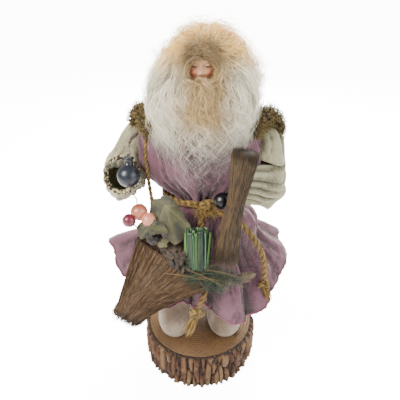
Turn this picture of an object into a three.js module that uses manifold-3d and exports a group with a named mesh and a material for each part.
// A soft-sculpted old-world santa figurine, 250 mm tall, that stands on a slice of a log.
// It wears a mauve robe with a wired, flaring hem, puffed sage sleeves and fur round the armholes. It has a
// large wool beard and mane, holds a bundle of twigs, and carries a palm fibre pouch of dried plants.
// Millimetres, +Z up, the figure faces -Y. The origin is the centre of the log slice's underside.

import * as THREE from "three";
import { mergeVertices } from "three/addons/utils/BufferGeometryUtils.js";
import Module from "manifold-3d";

const wasm = await Module();
wasm.setup();

// Driving dimensions
const sliceRadius = 43;
const sliceHeight = 30.5;
const bootHalfWidth = 12.6;
const beltHeight = 145;
const neckHeight = 203;
const headCentre = [0.5, -2, 226];
const headRadii = [12.2, 13, 16];
const ropeRadius = 1.8;
const strapRadius = 1.15;
const clearance = 0.35;

const materials = {
  wood: finish(0xb48a5a, 0.8),
  robe: finish(0x8a6a7e, 0.85),
  sleeve: finish(0xa9a78d, 0.85),
  boot: finish(0xbcb0a4, 0.9),
  wool: finish(0xd9c9b4, 0.95),
  fur: finish(0x6a5a38, 1),
  jute: finish(0xa98445, 0.9),
  palm: finish(0x7d6142, 0.95),
  face: finish(0xe0b49a, 0.45),
  ball: finish(0x2a303c, 0.25),
  tape: finish(0xb5aca6, 0.7),
  lace: finish(0xd6cfae, 0.9),
  leaf: finish(0x7d8a5c, 0.7),
  coral: finish(0xd98a72, 0.35),
  red: finish(0x8e2f48, 0.3),
  dried: finish(0x4a3a30, 0.95),
  needle: finish(0x2f6b3c, 0.35),
};

function finish(color, roughness) {
  return new THREE.MeshStandardMaterial({ color, roughness, metalness: 0 });
}

// Small maths
const vec = (p) => new THREE.Vector3(...p);
const mix = (a, b, t) => a + (b - a) * t;
const turn = 2 * Math.PI;
const radians = THREE.MathUtils.degToRad;

// The value at x of a smooth line through rows of [x, a, b, ...], as a list [a, b, ...].
function along(rows, x) {
  let i = 0;
  while (i < rows.length - 2 && x > rows[i + 1][0]) i++;
  const [low, high] = [rows[i], rows[i + 1]];
  const t = THREE.MathUtils.clamp((x - low[0]) / (high[0] - low[0]), 0, 1);
  const eased = t * t * (3 - 2 * t);
  return low.slice(1).map((value, k) => mix(value, high[k + 1], eased));
}

// Solids

// A closed solid through rings that all have the same number of points, closed by a fan at each end.
function loft(rings) {
  const sides = rings[0].length;
  const points = rings.flat().map((p) => [...p]);
  const middle = (ring) => [0, 1, 2].map((k) => ring.reduce((sum, p) => sum + p[k], 0) / sides);
  const first = points.push(middle(rings[0])) - 1;
  const last = points.push(middle(rings.at(-1))) - 1;
  const faces = [];
  for (let j = 0; j < sides; j++) {
    const k = (j + 1) % sides;
    faces.push(first, k, j);
    for (let i = 0; i < rings.length - 1; i++) {
      const [a, b, c, d] = [i * sides + j, i * sides + k, (i + 1) * sides + j, (i + 1) * sides + k];
      faces.push(a, b, d, a, d, c);
    }
    faces.push(last, (rings.length - 1) * sides + j, (rings.length - 1) * sides + k);
  }
  const geometry = new THREE.BufferGeometry();
  geometry.setAttribute("position", new THREE.Float32BufferAttribute(points.flat(), 3));
  geometry.setIndex(faces);
  if (volume(geometry) < 0) geometry.index.array.reverse();
  return geometry;
}

function volume(geometry) {
  const { position } = geometry.attributes;
  const corner = (i) => new THREE.Vector3().fromBufferAttribute(position, geometry.index.getX(i));
  let sum = 0;
  for (let i = 0; i < geometry.index.count; i += 3) {
    sum += corner(i).dot(corner(i + 1).cross(corner(i + 2)));
  }
  return sum / 6;
}

// A ring of points round a centre, spanned by two half-axes, with an optional ripple of its radius.
function ring(centre, across, up, sides, ripple = () => 1) {
  return Array.from({ length: sides }, (_, j) => {
    const angle = (turn * j) / sides;
    const swell = ripple(angle);
    return [0, 1, 2].map(
      (k) => centre[k] + swell * (across[k] * Math.cos(angle) + up[k] * Math.sin(angle)),
    );
  });
}

// A bag that follows a curve: stations of {at, wide, tall}, with the wide way held along a given direction.
function bag(widthways, stations, sides, steps, ripple = () => 1) {
  const curve = new THREE.CatmullRomCurve3(stations.map((s) => vec(s.at)));
  return Array.from({ length: steps + 1 }, (_, i) => {
    const t = i / steps;
    const forward = curve.getTangent(t);
    const level = vec(widthways).projectOnPlane(forward).normalize();
    const tall = new THREE.Vector3().crossVectors(forward, level).normalize();
    const place = t * (stations.length - 1);
    const from = stations[Math.min(Math.floor(place), stations.length - 2)];
    const to = stations[Math.min(Math.floor(place) + 1, stations.length - 1)];
    const share = Math.min(place - Math.floor(place) + (t === 1 ? 1 : 0), 1);
    const wide = mix(from.wide, to.wide, share);
    const high = mix(from.tall, to.tall, share);
    return ring(
      curve.getPoint(t).toArray(),
      level.multiplyScalar(wide).toArray(),
      tall.multiplyScalar(high).toArray(),
      sides,
      (angle) => ripple(angle, t),
    );
  });
}

function ellipsoid(centre, radii, sides, rings) {
  return new THREE.SphereGeometry(1, sides, rings)
    .rotateX(Math.PI / 2)
    .scale(...radii)
    .translate(...centre);
}

function ropeSection(radius, sides) {
  const section = new THREE.Shape();
  for (let j = 0; j < sides; j++) {
    const angle = (turn * j) / sides;
    section[j ? "lineTo" : "moveTo"](radius * Math.cos(angle), radius * Math.sin(angle));
  }
  section.closePath();
  return section;
}

// A round tube along hand-chosen points.
function tube(points, radius, sides, steps) {
  const extrudePath = new THREE.CatmullRomCurve3(points.map(vec));
  const options = { steps, extrudePath, bevelEnabled: false };
  return new THREE.ExtrudeGeometry(ropeSection(radius, sides), options);
}

// A straight round bar that narrows from one end to the other.
function bar(from, to, radius, endRadius, sides) {
  const [a, b] = [vec(from), vec(to)];
  const direction = new THREE.Vector3().subVectors(b, a);
  const turned = new THREE.Quaternion().setFromUnitVectors(
    new THREE.Vector3(0, 1, 0),
    direction.clone().normalize(),
  );
  return new THREE.CylinderGeometry(endRadius, radius, direction.length(), sides)
    .applyQuaternion(turned)
    .translate(...a.add(b).multiplyScalar(0.5).toArray());
}

// Joining and cutting

function welded(geometry) {
  const bare = geometry.clone();
  bare.deleteAttribute("normal");
  bare.deleteAttribute("uv");
  return mergeVertices(bare, 1e-4);
}

function toSolid(geometry) {
  const { attributes, index } = welded(geometry);
  return new wasm.Manifold(
    new wasm.Mesh({
      numProp: 3,
      vertProperties: attributes.position.array,
      triVerts: new Uint32Array(index.array),
    }),
  );
}

function toGeometry(solid) {
  const { numProp, numVert, vertProperties, triVerts } = solid.getMesh();
  const points = new Float32Array(numVert * 3);
  for (let i = 0; i < numVert; i++) {
    points.set(vertProperties.subarray(i * numProp, i * numProp + 3), i * 3);
  }
  const geometry = new THREE.BufferGeometry();
  geometry.setAttribute("position", new THREE.BufferAttribute(points, 3));
  geometry.setIndex(new THREE.BufferAttribute(triVerts, 1));
  return geometry;
}

function joined(...geometries) {
  return toGeometry(geometries.map(toSolid).reduce((all, next) => all.add(next)));
}

// The same surface, moved outwards all over by the clearance.
function grown(geometry, by = clearance) {
  const skin = welded(geometry);
  skin.computeVertexNormals();
  const { position, normal } = skin.attributes;
  for (let i = 0; i < position.count; i++) {
    const moved = new THREE.Vector3()
      .fromBufferAttribute(normal, i)
      .multiplyScalar(by)
      .add(new THREE.Vector3().fromBufferAttribute(position, i));
    position.setXYZ(i, ...moved.toArray());
  }
  return skin;
}

// What is left of a shape beside its neighbours, as one body: slivers that a cut splits off are dropped.
// A neighbour that was cut itself cuts with its whole shape, which is smoother.
const wholeShapes = new Map();

function clearOf(geometry, ...neighbours) {
  const left = neighbours.reduce((solid, neighbour) => {
    const cut = solid.subtract(toSolid(grown(wholeShapes.get(neighbour) ?? neighbour)));
    const stillTouches = cut.intersect(toSolid(neighbour)).volume() > 0;
    return stillTouches ? cut.subtract(toSolid(grown(neighbour, 0.1))) : cut;
  }, toSolid(geometry));
  const bodies = left.decompose();
  const cut = toGeometry(bodies.sort((a, b) => b.volume() - a.volume())[0]);
  wholeShapes.set(cut, geometry);
  return cut;
}

// The log slice: pale wood inside a furrowed ring of bark.
function makeLogSlice() {
  const sides = 48;
  const woodRadius = sliceRadius - 3.6;
  const ridges = (angle, level) =>
    1 +
    0.016 * Math.cos(18 * angle + 1.3 * Math.sin(3 * angle + level)) +
    0.008 * Math.cos(11 * angle + 0.9 * level);
  const levels = [
    [0, sliceRadius - 1.2],
    [sliceHeight * 0.5, sliceRadius],
    [sliceHeight - 2, sliceRadius - 0.4],
    [sliceHeight, sliceRadius - 1.8],
    [sliceHeight, woodRadius],
  ];
  return loft(
    levels.map(([height, radius]) => {
      const rough = radius > woodRadius + 1;
      return ring([0, 0, height], [radius, 0, 0], [0, radius, 0], sides, (angle) =>
        rough ? ridges(angle, height / 9) : 1,
      );
    }),
  );
}

// One stuffed cloth boot with its leg, for side -1 or 1. Rows are height, x, y, half width and half length.
function makeBoot(side) {
  const soleGap = 0.35;
  const rows = [
    [sliceHeight + soleGap, 18.6, -6, 0.8 * bootHalfWidth, 14.5],
    [sliceHeight + 3, 18.8, -6.5, bootHalfWidth, 17.4],
    [38, 19, -6.5, 1.04 * bootHalfWidth, 18],
    [44, 19, -5, 1.02 * bootHalfWidth, 16.4],
    [50, 18.2, -2.5, 0.98 * bootHalfWidth, 13.4],
    [58, 15.6, 0, 0.84 * bootHalfWidth, 10.6],
    [70, 12.4, 0.5, 0.74 * bootHalfWidth, 9.4],
    [90, 11, 0.5, 0.7 * bootHalfWidth, 9],
  ];
  return loft(
    rows.map(([height, x, y, wide, long]) =>
      ring([side * x, y, height], [wide, 0, 0], [0, long, 0], 12),
    ),
  );
}

// The robe. An angle of 0 is the front, and it grows towards the figure's left, which is +X.
const torsoRows = [
  // height, half width, half depth, roundness (1 is an ellipse, less is squarer)
  [beltHeight - 2.6, 21, 18, 1],
  [beltHeight + 2.8, 21, 18, 1],
  [156, 31, 20.5, 0.8],
  [166, 38, 22, 0.7],
  [178, 38, 21, 0.75],
  [189, 34, 18, 0.8],
  [197, 22.5, 14, 0.9],
  [neckHeight, 10, 9.5, 1],
];
const hemRows = [
  // angle in degrees, reach from the middle, height
  [-180, 45, 68],
  [-150, 47, 74],
  [-125, 53, 90],
  [-108, 57, 98],
  [-97, 64, 99],
  [-90, 60, 94],
  [-77, 53, 84],
  [-62, 46, 76],
  [-45, 40, 71],
  [-24, 33, 72],
  [0, 28, 71],
  [18, 32, 65],
  [29, 40, 61.5],
  [36, 45.5, 62.7],
  [46, 50.5, 66.8],
  [55, 54, 72],
  [62, 50, 77.5],
  [73, 55, 83.4],
  [82, 60, 90.7],
  [92, 62.5, 97.6],
  [100, 59, 103.5],
  [108, 53, 105],
  [126, 50, 92],
  [152, 46, 72],
  [180, 45, 68],
];
const hemThickness = 1.8;
const bodyUnderside = 92;

function skirtPoint(angle, drop, inset) {
  const [reach, hemHeight] = along(hemRows, THREE.MathUtils.radToDeg(angle));
  const [waistHeight, waistWide, waistDeep] = torsoRows[0];
  const waist = 1 / Math.hypot(Math.sin(angle) / waistWide, Math.cos(angle) / waistDeep);
  const puff = 4.5 * (1 - Math.exp(-drop / 0.08));
  const flare = (reach - waist - 4.5) * drop ** 1.6;
  const folds = (0.7 + 2 * drop) * Math.cos(9 * angle + 0.6 * Math.sin(2 * angle));
  const radius = waist + puff + flare + folds * Math.min(1, 4 * drop) - inset;
  return [
    radius * Math.sin(angle),
    -radius * Math.cos(angle),
    mix(waistHeight, hemHeight, drop) + 0.2 * inset,
  ];
}

function makeRobe() {
  const sides = 36;
  const angles = Array.from({ length: sides }, (_, j) => (turn * j) / sides - Math.PI);
  const squared = (value, roundness) => Math.sign(value) * Math.abs(value) ** roundness;
  const torso = [...torsoRows].reverse().map(([height, wide, deep, roundness]) =>
    angles.map((angle) => [
      wide * squared(Math.sin(angle), roundness),
      -deep * squared(Math.cos(angle), roundness),
      height,
    ]),
  );
  const outside = [0.07, 0.22, 0.42, 0.65, 0.86, 1].map((drop) =>
    angles.map((angle) => skirtPoint(angle, drop, 0)),
  );
  const inside = [1, 0.72].map((drop) =>
    angles.map((angle) => skirtPoint(angle, drop, hemThickness)),
  );
  const undersideRadius = 20;
  const underside = angles.map((angle) => [
    undersideRadius * Math.sin(angle),
    -0.85 * undersideRadius * Math.cos(angle),
    bodyUnderside,
  ]);
  return loft([...torso, ...outside, ...inside, underside]);
}

// The rope round the waist, in the groove that it pulls the robe into.
function makeBelt() {
  const [, waistWide, waistDeep] = torsoRows[0];
  const points = Array.from({ length: 24 }, (_, j) => {
    const angle = (turn * j) / 24;
    const reach = 1 + (ropeRadius + clearance) / waistDeep;
    return new THREE.Vector3(
      reach * waistWide * Math.sin(angle),
      -reach * waistDeep * Math.cos(angle),
      beltHeight,
    );
  });
  return new THREE.ExtrudeGeometry(ropeSection(ropeRadius, 6), {
    steps: 24,
    extrudePath: new THREE.CatmullRomCurve3(points, true),
    bevelEnabled: false,
  });
}

// The head with its neck, a small nose and plain cheeks. Hair and beard hide the rest.
function makeHead() {
  const [x, y, z] = headCentre;
  const skull = ellipsoid(headCentre, headRadii, 12, 7);
  const neck = new THREE.CylinderGeometry(6.5, 7.5, 14, 8)
    .rotateX(Math.PI / 2)
    .translate(x, y + 2, neckHeight + 7 + clearance);
  const nose = ellipsoid([x, y - headRadii[1] + 0.2, z - 3.4], [1.9, 2.3, 2.6], 6, 5);
  const cheek = (side) =>
    ellipsoid([x + side * 4.4, y - 0.82 * headRadii[1], z - 4.2], [3, 2.4, 2.6], 6, 5);
  return joined(skull, neck, nose, cheek(-1), cheek(1));
}

// The beard with its moustache, combed down the chest. Rows are height, half width, front and back.
const beardRows = [
  [155, 6, -29.5, -22],
  [165, 16.5, -33.5, -19],
  [175, 21.5, -35, -17],
  [187, 25.5, -34.5, -14],
  [199, 26.5, -31, -10],
  [208, 22, -27.5, -7],
  [215, 15.5, -23, -7],
  [219.5, 8.5, -18.6, -8],
];

function makeBeard() {
  const sides = 18;
  return loft(
    beardRows.map(([height, wide, front, back]) => {
      const lock = (angle) =>
        1 + 0.05 * Math.cos(6 * angle + height / 9) + 0.02 * Math.cos(4 * angle - height / 14);
      return ring(
        [0.8, (front + back) / 2, height],
        [wide, 0, 0],
        [0, (back - front) / 2, 0],
        sides,
        lock,
      );
    }),
  );
}

// The mane that stands out round the head. Rows are height, reach left, reach right, front and back.
const maneRows = [
  [187, 22, 27, -9, 19],
  [198, 29.5, 33, -12, 23.5],
  [213, 30.5, 36.5, -15, 25],
  [222, 26.5, 35, -17, 24],
  [230, 21.5, 30, -18, 22],
  [237, 16, 25, -16, 18],
  [243, 10, 17.5, -10, 12],
  [246.5, 3, 8, -4, 5],
];
const faceOpening = { centre: [0.9, -19, 223.5], radii: [9.6, 13, 10.4] };

function makeMane() {
  const sides = 16;
  const mane = loft(
    maneRows.map(([height, left, right, front, back]) => {
      const lock = (angle) =>
        1 + 0.035 * Math.cos(5 * angle + height / 7) + 0.02 * Math.cos(3 * angle + height / 5);
      return ring(
        [(right - left) / 2, (front + back) / 2, height],
        [(left + right) / 2, 0, 0],
        [0, (back - front) / 2, 0],
        sides,
        lock,
      );
    }),
  );
  const socket = ellipsoid(
    headCentre,
    headRadii.map((radius) => radius + 1),
    12,
    7,
  );
  const opening = ellipsoid(faceOpening.centre, faceOpening.radii, 8, 6);
  const throat = new THREE.CylinderGeometry(9, 9, 24, 8)
    .rotateX(Math.PI / 2)
    .translate(headCentre[0], headCentre[1] + 2, headCentre[2] - 22);
  return clearOf(mane, joined(socket, opening, throat));
}

// Fur round one armhole: a fat roll that arches over the shoulder.
function makeFur(points, radius, widthways) {
  const stations = points.map((at, i) => {
    const end = i === 0 || i === points.length - 1;
    return { at, wide: end ? 0.6 * radius : radius, tall: end ? 0.6 * radius : radius };
  });
  return loft(
    bag(widthways, stations, 8, 9, (angle, t) => 1 + 0.09 * Math.cos(3 * angle + 17 * t) * Math.cos(23 * t)),
  );
}
const furLeftRoute = [
  [30, -14, 188.5],
  [33.4, -9, 193],
  [39.5, -2, 195],
  [45, 2.4, 190.6],
  [46.4, 3, 184],
  [45.5, 1, 179],
];
const furRightRoute = [
  [-27.5, -14, 188],
  [-29.4, -10, 194],
  [-33.6, -2, 197.6],
  [-37, 2, 193],
  [-36, 3, 187],
];

// The right sleeve: a bell that droops from the shoulder and opens forwards.
const cuffCentre = [-45.4, -21, 165.4];
const cuffNormal = new THREE.Vector3(-0.25, -0.86, 0.42).normalize();
const cuffRadius = 10.2;

function makeBellSleeve() {
  const sides = 12;
  const outer = [
    { at: [-34, 5, 188], wide: 7, tall: 7 },
    { at: [-39.5, 5, 181], wide: 8.6, tall: 9 },
    { at: [-43.4, 1, 171.5], wide: 10.4, tall: 11 },
    { at: [-46.4, -6, 163.5], wide: 12.4, tall: 13 },
    { at: [-46.8, -14.4, 158.6], wide: 12, tall: 14.6 },
  ];
  const pleats = (angle, t) => 1 + 0.045 * t * Math.cos(5 * angle + 1);
  const body = bag([1, 0, 0], outer, sides, 6, pleats);
  const across = new THREE.Vector3(1, 0, 0).projectOnPlane(cuffNormal).normalize();
  const up = new THREE.Vector3().crossVectors(cuffNormal, across);
  const mouth = (inset, depth) =>
    ring(
      vec(cuffCentre).addScaledVector(cuffNormal, -depth).toArray(),
      across.clone().multiplyScalar(cuffRadius - inset).toArray(),
      up.clone().multiplyScalar(cuffRadius - inset).toArray(),
      sides,
    );
  const lining = [mouth(0, 0), mouth(1.6, 0), mouth(2, 9)];
  return loft([...body, ...lining]);
}

// The left sleeve: a puffed upper arm joined to a forearm that is gathered along the cuff.
function makePuffedSleeve() {
  const gathers = (angle, t) => 1 + 0.05 * t * Math.cos(6 * angle);
  const upper = loft(
    bag(
      [1, 0, 0],
      [
        { at: [36, 3, 187], wide: 7, tall: 7 },
        { at: [41, 1, 180], wide: 9.4, tall: 9.4 },
        { at: [42.6, -3, 168], wide: 10.4, tall: 10.6 },
        { at: [42.8, -7, 156], wide: 11, tall: 11 },
        { at: [42, -9, 147], wide: 8, tall: 8 },
      ],
      10,
      5,
    ),
  );
  const forearm = loft(
    bag(
      [0.55, -0.83, 0],
      [
        { at: [49.4, -5, 153], wide: 4.6, tall: 8 },
        { at: [45, -9, 151.5], wide: 10, tall: 13 },
        { at: [36, -15, 153], wide: 9.5, tall: 13 },
        { at: [29, -20, 156], wide: 8, tall: 12 },
        { at: [23, -23.5, 158], wide: 6, tall: 11.5 },
      ],
      12,
      4,
      gathers,
    ),
  );
  return joined(upper, forearm);
}

// A round dark hand on a short neck.
function makeHand(centre, radius, neckEnd) {
  const ball = ellipsoid(centre, [radius, radius, radius], 10, 7);
  return joined(ball, bar(centre, neckEnd, 2.3, 2, 6));
}

// The twig bundle: cut flush at both ends and pinched where the hand holds it.
const twigStations = [
  { at: [24.8, -35, 186.9], wide: 7.6, tall: 5.8 },
  { at: [23, -37, 175], wide: 6.7, tall: 5 },
  { at: [20, -39, 155.3], wide: 4.6, tall: 3.8 },
  { at: [17.8, -41, 142.6], wide: 6.1, tall: 4.6 },
  { at: [14.6, -43.5, 117.5], wide: 8.3, tall: 5.8 },
];

function makeTwigBundle() {
  const flutes = (angle) => 1 + 0.055 * Math.cos(10 * angle);
  return loft(bag([1, 0, 0], twigStations, 20, 7, flutes));
}

// The palm fibre pouch: a flattened cone, open at its wide upper end.
const pouch = {
  // the left edge and the lower edge, from the mouth to the cut ends of the fibres
  left: new THREE.LineCurve3(vec([-38, -34, 127.5]), vec([-54.6, -40, 77])),
  lower: new THREE.QuadraticBezierCurve3(
    vec([10, -41.5, 98.5]),
    vec([-16, -45, 92]),
    vec([-39.8, -41.5, 67.6]),
  ),
  mouthDepth: 8,
  tailDepth: 2.6,
  wall: 1.3,
};

function pouchRing(t, inset) {
  const [a, b] = [pouch.left.getPoint(t), pouch.lower.getPoint(t)];
  const half = new THREE.Vector3().subVectors(b, a).multiplyScalar(0.5);
  const centre = new THREE.Vector3().addVectors(a, b).multiplyScalar(0.5);
  const depth = mix(pouch.mouthDepth, pouch.tailDepth, t ** 0.8) - inset;
  half.setLength(half.length() - 1.6 * inset);
  return ring(centre.toArray(), half.toArray(), [0, depth, 0.15 * depth], 16);
}

function makePouch() {
  const outside = [1, 0.8, 0.55, 0.28, 0].map((t) => pouchRing(t, 0));
  const inside = [0, 0.3, 0.62].map((t) => pouchRing(t, pouch.wall));
  return loft([...outside, ...inside]);
}

// A dried cone: tiers of scales round a core.
function makeDriedCone(centre, direction, length, radius) {
  const tiers = 5;
  const profile = [new THREE.Vector2(0, 0)];
  for (let i = 0; i < tiers; i++) {
    const swell = radius * Math.sin((Math.PI * (i + 0.9)) / (tiers + 0.8));
    profile.push(new THREE.Vector2(0.74 * swell, (length * (i + 0.1)) / tiers));
    profile.push(new THREE.Vector2(swell, (length * (i + 0.85)) / tiers));
  }
  profile.push(new THREE.Vector2(0, length));
  const turned = new THREE.Quaternion().setFromUnitVectors(
    new THREE.Vector3(0, 1, 0),
    vec(direction).normalize(),
  );
  return new THREE.LatheGeometry(profile, 10)
    .translate(0, -length / 2, 0)
    .applyQuaternion(turned)
    .translate(...centre);
}

// An ivy leaf cut from stiff cloth, with pointed lobes and a fold down its midrib.
function makeLeaf({ centre, length, width, lobes, facing, spin, curl }) {
  const thickness = 0.7;
  const points = 20;
  const outline = new THREE.Shape();
  for (let i = 0; i < points; i++) {
    const angle = (turn * i) / points;
    const reach = 0.78 + 0.22 * Math.cos(lobes * angle);
    const at = [0.5 * width * reach * Math.sin(angle), 0.5 * length * reach * Math.cos(angle)];
    outline[i ? "lineTo" : "moveTo"](...at);
  }
  outline.closePath();
  const geometry = welded(
    new THREE.ExtrudeGeometry(outline, { depth: thickness, bevelEnabled: false }),
  );
  const { position } = geometry.attributes;
  for (let i = 0; i < position.count; i++) {
    const [x, y] = [position.getX(i), position.getY(i)];
    const bend = -curl * (Math.abs(x) / width) * 2 - 0.8 * curl * (y / length) ** 2 * 4;
    position.setZ(i, position.getZ(i) + bend);
  }
  const turned = new THREE.Quaternion().setFromUnitVectors(
    new THREE.Vector3(0, 0, 1),
    vec(facing).normalize(),
  );
  return geometry
    .rotateZ(radians(spin))
    .applyQuaternion(turned)
    .translate(...centre);
}

// A berry with its wire stem.
function makeBerry(centre, radius, stemEnd) {
  return joined(
    ellipsoid(centre, [radius, radius, radius], 10, 6),
    bar(centre, stemEnd, 0.55, 0.45, 5),
  );
}

// A bundle of upright green blades, cut off square.
function makeGreenBlades() {
  return loft(
    bag(
      [1, 0, 0],
      [
        { at: [-1.8, -45.5, 117.4], wide: 6.4, tall: 3.4 },
        { at: [-2, -44, 129], wide: 6.8, tall: 3.6 },
        { at: [-1.8, -42.4, 141.5], wide: 6.6, tall: 3.2 },
      ],
      16,
      3,
      (angle) => 1 + 0.08 * Math.cos(8 * angle),
    ),
  );
}

// A flat spray of pine needles that fans out below the blades.
function makeNeedleSpray() {
  const heart = [2, -46.2, 112];
  const tips = [
    [-12, -47.5, 120],
    [-6, -48.5, 107],
    [8, -48, 100],
    [18, -46.5, 99],
    [26, -45, 103],
    [21, -46, 113],
  ];
  const core = ellipsoid([6, -46, 109.5], [12, 2.6, 4.4], 8, 5);
  return joined(core, ...tips.map((tip) => bar(heart, tip, 1.3, 0.35, 4)));
}

// A dried, curled leaf beside the needles.
function makeDriedLeaf() {
  return makeLeaf({
    centre: [27.5, -41, 104.5],
    length: 16,
    width: 9,
    lobes: 2,
    facing: [0.2, -0.9, 0.4],
    spin: -70,
    curl: 1,
  });
}

// An overhand knot drawn tight: one bulge of crossing turns, with the frayed strands that hang out of it.
function makeKnot(centre, radius, depth, strands = []) {
  const bulge = [
    // drop below the middle, share of the full width
    [-1, 0.35],
    [-0.7, 0.78],
    [-0.25, 1],
    [0.25, 1],
    [0.7, 0.78],
    [1, 0.38],
  ];
  const stations = [
    ...bulge.map(([drop, share]) => ({
      at: [centre[0], centre[1], centre[2] - drop * radius],
      wide: share * radius,
      tall: share * depth,
    })),
    ...strands.map(([at, spread]) => ({ at, wide: spread, tall: 0.8 * spread })),
  ];
  const turns = (angle, t) => 1 + 0.12 * Math.cos(3 * angle + 13 * t);
  return loft(bag([1, 0, 0], stations, 9, stations.length - 1, turns));
}

// Routes of the cords, from where each one starts to where it ends.
const strapRoute = [
  [-30.6, -8.6, 190.5],
  [-31.2, -10.6, 187.5],
  [-31.6, -12, 184.5],
  [-31.9, -13.4, 181.5],
  [-32, -15, 178],
  [-31.8, -17, 174],
  [-31.4, -18.9, 170],
  [-30.9, -20.8, 166],
  [-30.3, -22.6, 162],
  [-29.6, -24.4, 158],
  [-28.9, -26.2, 154],
  [-28.5, -28, 150],
  [-28.6, -29.6, 146],
  [-29.1, -31, 142],
  [-30.2, -32.4, 137.5],
  [-31.6, -33.4, 133.4],
];
const frontTailRoute = [
  [1.4, -27.4, 140.6],
  [0.6, -28.4, 138],
  [0.2, -29.6, 134.5],
  [0.2, -30.6, 131],
  [0.4, -31.4, 127],
  [0.9, -32, 123],
  [1.5, -32.6, 119],
  [2.3, -32.8, 115],
  [3.1, -32.4, 111],
  [3.8, -31.4, 107],
  [4.4, -30.8, 103],
  [4.7, -30.8, 99],
  [4.6, -32, 95],
  [4, -34.4, 91],
  [2.6, -37, 87],
  [0.8, -38.8, 82.6],
  [-0.9, -39.6, 78],
];
const sideTailRoute = [
  [7.6, -25.6, 143.4],
  [10.8, -26, 142.6],
  [14.4, -26.4, 141.4],
  [18.2, -26.8, 139.8],
  [21.8, -27, 137.6],
  [25.2, -27.2, 134.9],
  [28.4, -27.4, 131.6],
  [31.4, -27.6, 127.8],
  [34.2, -27.8, 123.6],
  [36.6, -27.8, 119.2],
  [38.8, -27.6, 114.6],
  [40.6, -27.2, 109.8],
  [41.9, -26.8, 104.8],
  [42.8, -26.4, 99.6],
  [43.2, -26, 94.4],
  [43.1, -25.8, 89.6],
];

// Every solid, each cut clear of the ones made before it that it rests on.
const robe = makeRobe();
const head = makeHead();
const twigs = makeTwigBundle();
const pouchShell = clearOf(makePouch(), robe);
const cuffTrim = new THREE.TorusGeometry(cuffRadius + 0.2, 1.7, 5, 16)
  .applyQuaternion(
    new THREE.Quaternion().setFromUnitVectors(new THREE.Vector3(0, 0, 1), cuffNormal),
  )
  .translate(...vec(cuffCentre).addScaledVector(cuffNormal, 1.9).toArray());
const rightHand = clearOf(makeHand([-40.1, -31.4, 169.8], 6.6, [-39.5, -28.4, 180.4]), cuffTrim);
const leftHand = clearOf(makeHand([13, -29.4, 152.6], 5, [23, -25.5, 156]), twigs, robe);
const furRight = clearOf(makeFur(furRightRoute, 6.8, [0.7, 0.7, 0]), robe);
const furLeft = clearOf(makeFur(furLeftRoute, 7, [0.7, -0.7, 0]), robe);
const strap = clearOf(tube(strapRoute, strapRadius, 6, 13), robe, pouchShell, furRight);
const armRoute = [
  [-39.5, -28, 181.6],
  [-40.7, -24.6, 183.2],
  [-41, -18, 184.6],
  [-39.6, -12, 185.7],
  [-37.4, -7.6, 186.6],
];
const rightArm = clearOf(tube(armRoute, 1.25, 8, 6), rightHand, furRight, robe);
const bellSleeve = clearOf(makeBellSleeve(), robe, furRight, rightArm, rightHand, cuffTrim, strap);
const puffedSleeve = clearOf(makePuffedSleeve(), robe, furLeft, twigs, leftHand);
const belt = makeBelt();
const beltKnot = clearOf(makeKnot([4, -24.6, 144], 5.2, 3.1), robe, belt);
const frontTail = clearOf(tube(frontTailRoute, ropeRadius, 7, 9), robe, beltKnot, pouchShell);
const sideTail = clearOf(tube(sideTailRoute, ropeRadius, 7, 9), robe, beltKnot, leftHand, puffedSleeve);
const frontStrands = [
  [[-5.6, -39.6, 62], 3],
  [[-8.6, -39, 54], 3.6],
];
const frontKnot = clearOf(makeKnot([-2.6, -40, 72.4], 5, 3, frontStrands), frontTail);
const sideStrands = [[[47, -27.6, 76.4], 3.4]];
const sideKnot = clearOf(makeKnot([43.4, -26, 84.6], 4.6, 2.8, sideStrands), sideTail, robe);
const beard = clearOf(makeBeard(), robe, head, twigs, leftHand, furLeft, furRight, strap, beltKnot);
const mane = clearOf(makeMane(), robe, beard, furLeft, furRight);
const driedCone = clearOf(
  makeDriedCone([-15, -39.6, 122.5], [1, -0.1, -0.72], 25, 7.4),
  pouchShell,
  robe,
);
const darkBerry = clearOf(
  ellipsoid([-27, -38.5, 132.4], [4.8, 4.2, 4.4], 10, 7),
  pouchShell,
  driedCone,
  strap,
);
const greenBlades = clearOf(makeGreenBlades(), pouchShell, driedCone, twigs, frontTail);
const needleSpray = clearOf(makeNeedleSpray(), pouchShell, greenBlades, twigs, driedCone, frontTail);
const driedLeaf = clearOf(makeDriedLeaf(), needleSpray, robe, twigs);
const bigLeaf = clearOf(
  makeLeaf({
    centre: [-16.5, -40.5, 144],
    length: 31,
    width: 29,
    lobes: 5,
    facing: [0.12, -0.85, 0.5],
    spin: 170,
    curl: 2,
  }),
  greenBlades,
  darkBerry,
  driedCone,
  strap,
  pouchShell,
);
const smallLeaf = clearOf(
  makeLeaf({
    centre: [-28.5, -43, 138.6],
    length: 17,
    width: 22,
    lobes: 3,
    facing: [-0.15, -0.85, 0.5],
    spin: 20,
    curl: 2,
  }),
  bigLeaf,
  darkBerry,
  strap,
  pouchShell,
);
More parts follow.
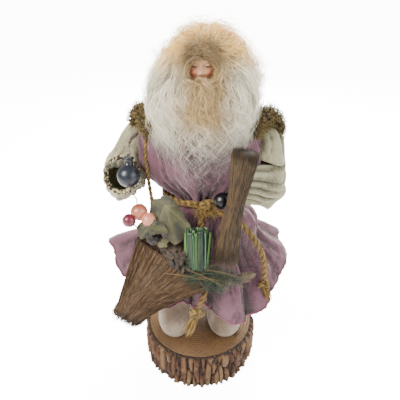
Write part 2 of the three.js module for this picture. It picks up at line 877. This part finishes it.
const upperCoral = clearOf(
  makeBerry([-35, -36.5, 149.5], 4.4, [-38.4, -31, 157.5]),
  strap,
  smallLeaf,
  bigLeaf,
  bellSleeve,
);
const lowerCoral = clearOf(
  makeBerry([-29.3, -44, 148], 4.1, [-30.2, -42.4, 141.4]),
  upperCoral,
  smallLeaf,
  bigLeaf,
);
const redBerry = clearOf(
  makeBerry([-39.8, -44, 148.2], 3.8, [-35.4, -43, 140.4]),
  upperCoral,
  smallLeaf,
  bellSleeve,
);

const group = new THREE.Group();

function place(name, geometry, material) {
  const mesh = new THREE.Mesh(geometry, material);
  mesh.name = name;
  group.add(mesh);
}

place("log_slice", makeLogSlice(), materials.wood);
place("boot_right", clearOf(makeBoot(-1), robe), materials.boot);
place("boot_left", clearOf(makeBoot(1), robe), materials.boot);
place("robe", robe, materials.robe);
place("head", head, materials.face);
place("beard", beard, materials.wool);
place("mane", mane, materials.wool);
place("fur_trim_right", furRight, materials.fur);
place("fur_trim_left", furLeft, materials.fur);
place("sleeve_right", bellSleeve, materials.sleeve);
place("sleeve_left", puffedSleeve, materials.sleeve);
place("cuff_trim", cuffTrim, materials.lace);
place("arm_right", rightArm, materials.tape);
place("hand_right", rightHand, materials.ball);
place("hand_left", leftHand, materials.ball);
place("twig_bundle", twigs, materials.palm);
place("belt_rope", belt, materials.jute);
place("belt_knot", beltKnot, materials.jute);
place("belt_tail_front", frontTail, materials.jute);
place("belt_tail_front_knot", frontKnot, materials.jute);
place("belt_tail_side", sideTail, materials.jute);
place("belt_tail_side_knot", sideKnot, materials.jute);
place("pouch_strap", strap, materials.jute);
place("pouch", pouchShell, materials.palm);
place("dried_cone", driedCone, materials.dried);
place("dark_berry", darkBerry, materials.dried);
place("green_blades", greenBlades, materials.needle);
place("needle_spray", needleSpray, materials.needle);
place("dried_leaf", driedLeaf, materials.dried);
place("ivy_leaf_large", bigLeaf, materials.leaf);
place("ivy_leaf_small", smallLeaf, materials.leaf);
place("berry_coral_upper", upperCoral, materials.coral);
place("berry_coral_lower", lowerCoral, materials.coral);
place("berry_red", redBerry, materials.red);

export default group;
